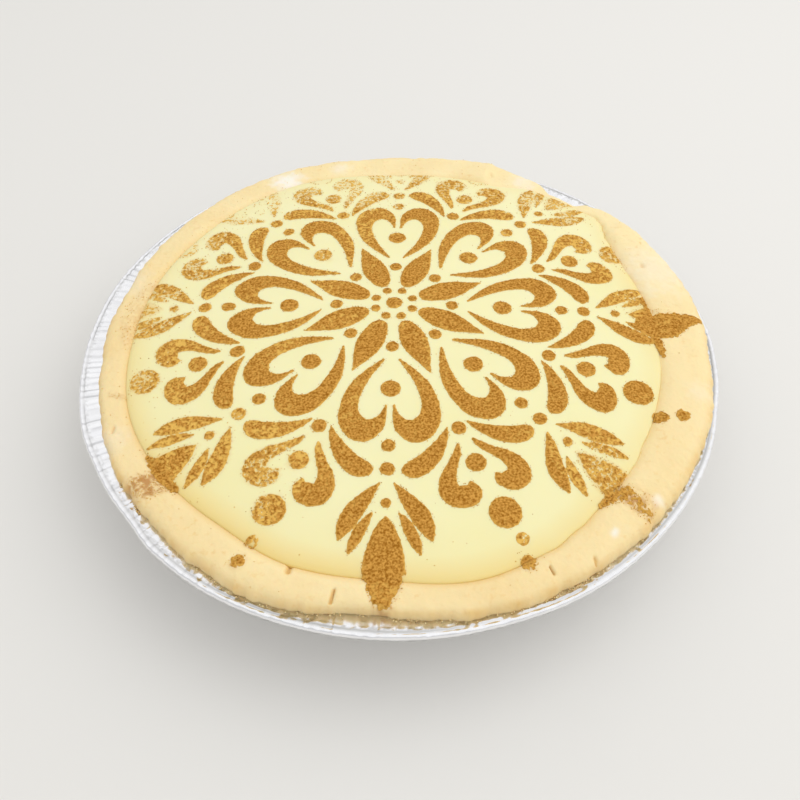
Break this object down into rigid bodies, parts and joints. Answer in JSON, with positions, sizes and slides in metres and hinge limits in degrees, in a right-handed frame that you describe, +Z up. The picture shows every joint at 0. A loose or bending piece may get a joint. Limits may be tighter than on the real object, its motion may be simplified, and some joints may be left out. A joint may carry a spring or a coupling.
{
  "type": "milk tart",
  "caption": "Round baked milk tart in a crimped foil dish, with a soft uneven pastry rim, a domed custard filling and a stencilled cinnamon rosette in low relief.",
  "frame": {"origin": "middle of the underside of the foil dish, on the surface that it stands on", "axes": "+Z up through the tart, -Y towards the front edge, +X to the right"},
  "size_m": [0.2216, 0.2203, 0.0398],
  "materials": {
    "foil": "bright crimped foil",
    "pastry": "pale baked pastry, dull",
    "custard": "smooth set custard, soft sheen"
  },
  "bodies": {
    "root": {"dish": "foil", "crust": "pastry", "custard": "custard"}
  },
  "joints": []
}
